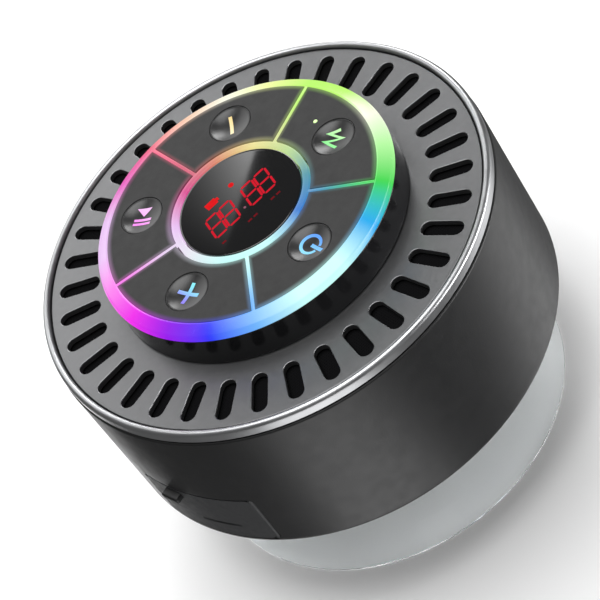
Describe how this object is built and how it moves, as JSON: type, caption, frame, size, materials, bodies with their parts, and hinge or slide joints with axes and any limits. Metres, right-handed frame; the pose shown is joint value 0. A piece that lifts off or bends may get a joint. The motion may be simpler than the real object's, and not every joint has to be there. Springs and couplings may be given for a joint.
{
  "type": "shower speaker",
  "caption": "Drum-shaped waterproof speaker with a slotted front ring, a raised pod with lit keys and a clock display, and a clear suction cup on its back.",
  "frame": {"origin": "centre of the suction cup's rim, in the plane that the rim presses on", "axes": "+Z out of the front face, along the speaker's axis; -Y towards the power key; +X to the right of someone who faces the front with the power key down"},
  "size_m": [0.0882, 0.087, 0.0635],
  "materials": {
    "shell": "satin moulded charcoal plastic",
    "rim": "polished bead",
    "grille": "satin grey metal",
    "grille_fabric": "black acoustic cloth",
    "chassis": "moulded",
    "seal": "soft silicone",
    "pod": "high gloss black",
    "guide": "milky diffuser, lit in rainbow colours",
    "panel": "fine matt texture",
    "key": "satin gloss with a lit symbol",
    "switch": "pressed tinplate",
    "window": "smoked, high gloss",
    "display": "black block with red lit digits",
    "board": "green solder mask",
    "lamps": "surface lamps on a white strip",
    "screw": "zinc plated",
    "basket": "black pressed steel",
    "motor_steel": "zinc plated",
    "ferrite": "ground ferrite",
    "coil": "enamelled winding",
    "cone_paper": "pressed paper",
    "surround_rubber": "moulded roll",
    "spider_cloth": "resin-stiffened cloth",
    "cell_wrap": "shrink wrap",
    "lead": "insulated lead",
    "flap": "matt silicone",
    "insert": "turned",
    "stud": "plated",
    "cup": "clear soft vinyl"
  },
  "bodies": {
    "housing": {"battery": "cell_wrap", "battery_leads": "lead", "battery_tray": "chassis", "charging_socket": "switch", "chassis_screw_1": "screw", "chassis_screw_2": "screw", "chassis_screw_3": "screw", "chassis_screw_4": "screw", "control_board": "board", "control_cable": "lead", "control_panel": "panel", "display_module": "display", "display_window": "window", "driver_basket": "basket", "driver_leads": "lead", "driver_magnet": "ferrite", "driver_screw_1": "screw", "driver_screw_2": "screw", "driver_screw_3": "screw", "driver_screw_4": "screw", "driver_top_plate": "motor_steel", "driver_yoke": "motor_steel", "front_chassis": "chassis", "front_grille": "grille", "grille_cloth": "grille_fabric", "housing_seal": "seal", "led_ring": "lamps", "light_guide": "guide", "main_board": "board", "minus_switch": "switch", "mode_switch": "switch", "play_switch": "switch", "plus_switch": "switch", "pod_screw_1": "screw", "pod_screw_2": "screw", "pod_screw_3": "screw", "pod_screw_4": "screw", "pod_shell": "pod", "power_switch": "switch", "radio_module": "switch", "rear_housing": "shell", "rim_bezel": "rim", "spider": "spider_cloth", "status_light_pipe": "guide", "surround": "surround_rubber", "threaded_insert": "insert"},
    "power_key": {"power_key": "key"},
    "mode_key": {"mode_key": "key"},
    "minus_key": {"minus_key": "key"},
    "play_key": {"play_key": "key"},
    "plus_key": {"plus_key": "key"},
    "cone": {"cone": "cone_paper", "dust_cap": "cone_paper", "voice_coil": "coil"},
    "port_cover": {"port_cover": "flap"},
    "suction_cup": {"suction_cup": "cup", "cup_stud": "stud"}
  },
  "joints": [
    {"name": "power_key_press", "type": "slide", "parent": "housing", "child": "power_key", "axis": [0, 0, -1], "range_m": [0, 0.0004], "stiffness_N_per_m": 400, "springref_m": -0.001},
    {"name": "mode_key_press", "type": "slide", "parent": "housing", "child": "mode_key", "axis": [0, 0, -1], "range_m": [0, 0.0004], "stiffness_N_per_m": 400, "springref_m": -0.001},
    {"name": "minus_key_press", "type": "slide", "parent": "housing", "child": "minus_key", "axis": [0, 0, -1], "range_m": [0, 0.0004], "stiffness_N_per_m": 400, "springref_m": -0.001},
    {"name": "play_key_press", "type": "slide", "parent": "housing", "child": "play_key", "axis": [0, 0, -1], "range_m": [0, 0.0004], "stiffness_N_per_m": 400, "springref_m": -0.001},
    {"name": "plus_key_press", "type": "slide", "parent": "housing", "child": "plus_key", "axis": [0, 0, -1], "range_m": [0, 0.0004], "stiffness_N_per_m": 400, "springref_m": -0.001},
    {"name": "cone_travel", "type": "slide", "parent": "housing", "child": "cone", "axis": [0, 0, 1], "range_m": [-0.001, 0.001], "stiffness_N_per_m": 1200, "deforming": ["surround", "spider"]},
    {"name": "port_cover_hinge", "type": "hinge", "parent": "housing", "child": "port_cover", "pos_m": [-0.03618, -0.02305, 0.0294], "axis": [0, 0, 1], "range_deg": [0, 100], "stiffness_Nm_per_rad": 0.002},
    {"name": "cup_turn", "type": "hinge", "parent": "housing", "child": "suction_cup", "pos_m": [0, 0, 0.0207], "axis": [0, 0, 1], "continuous": true}
  ]
}
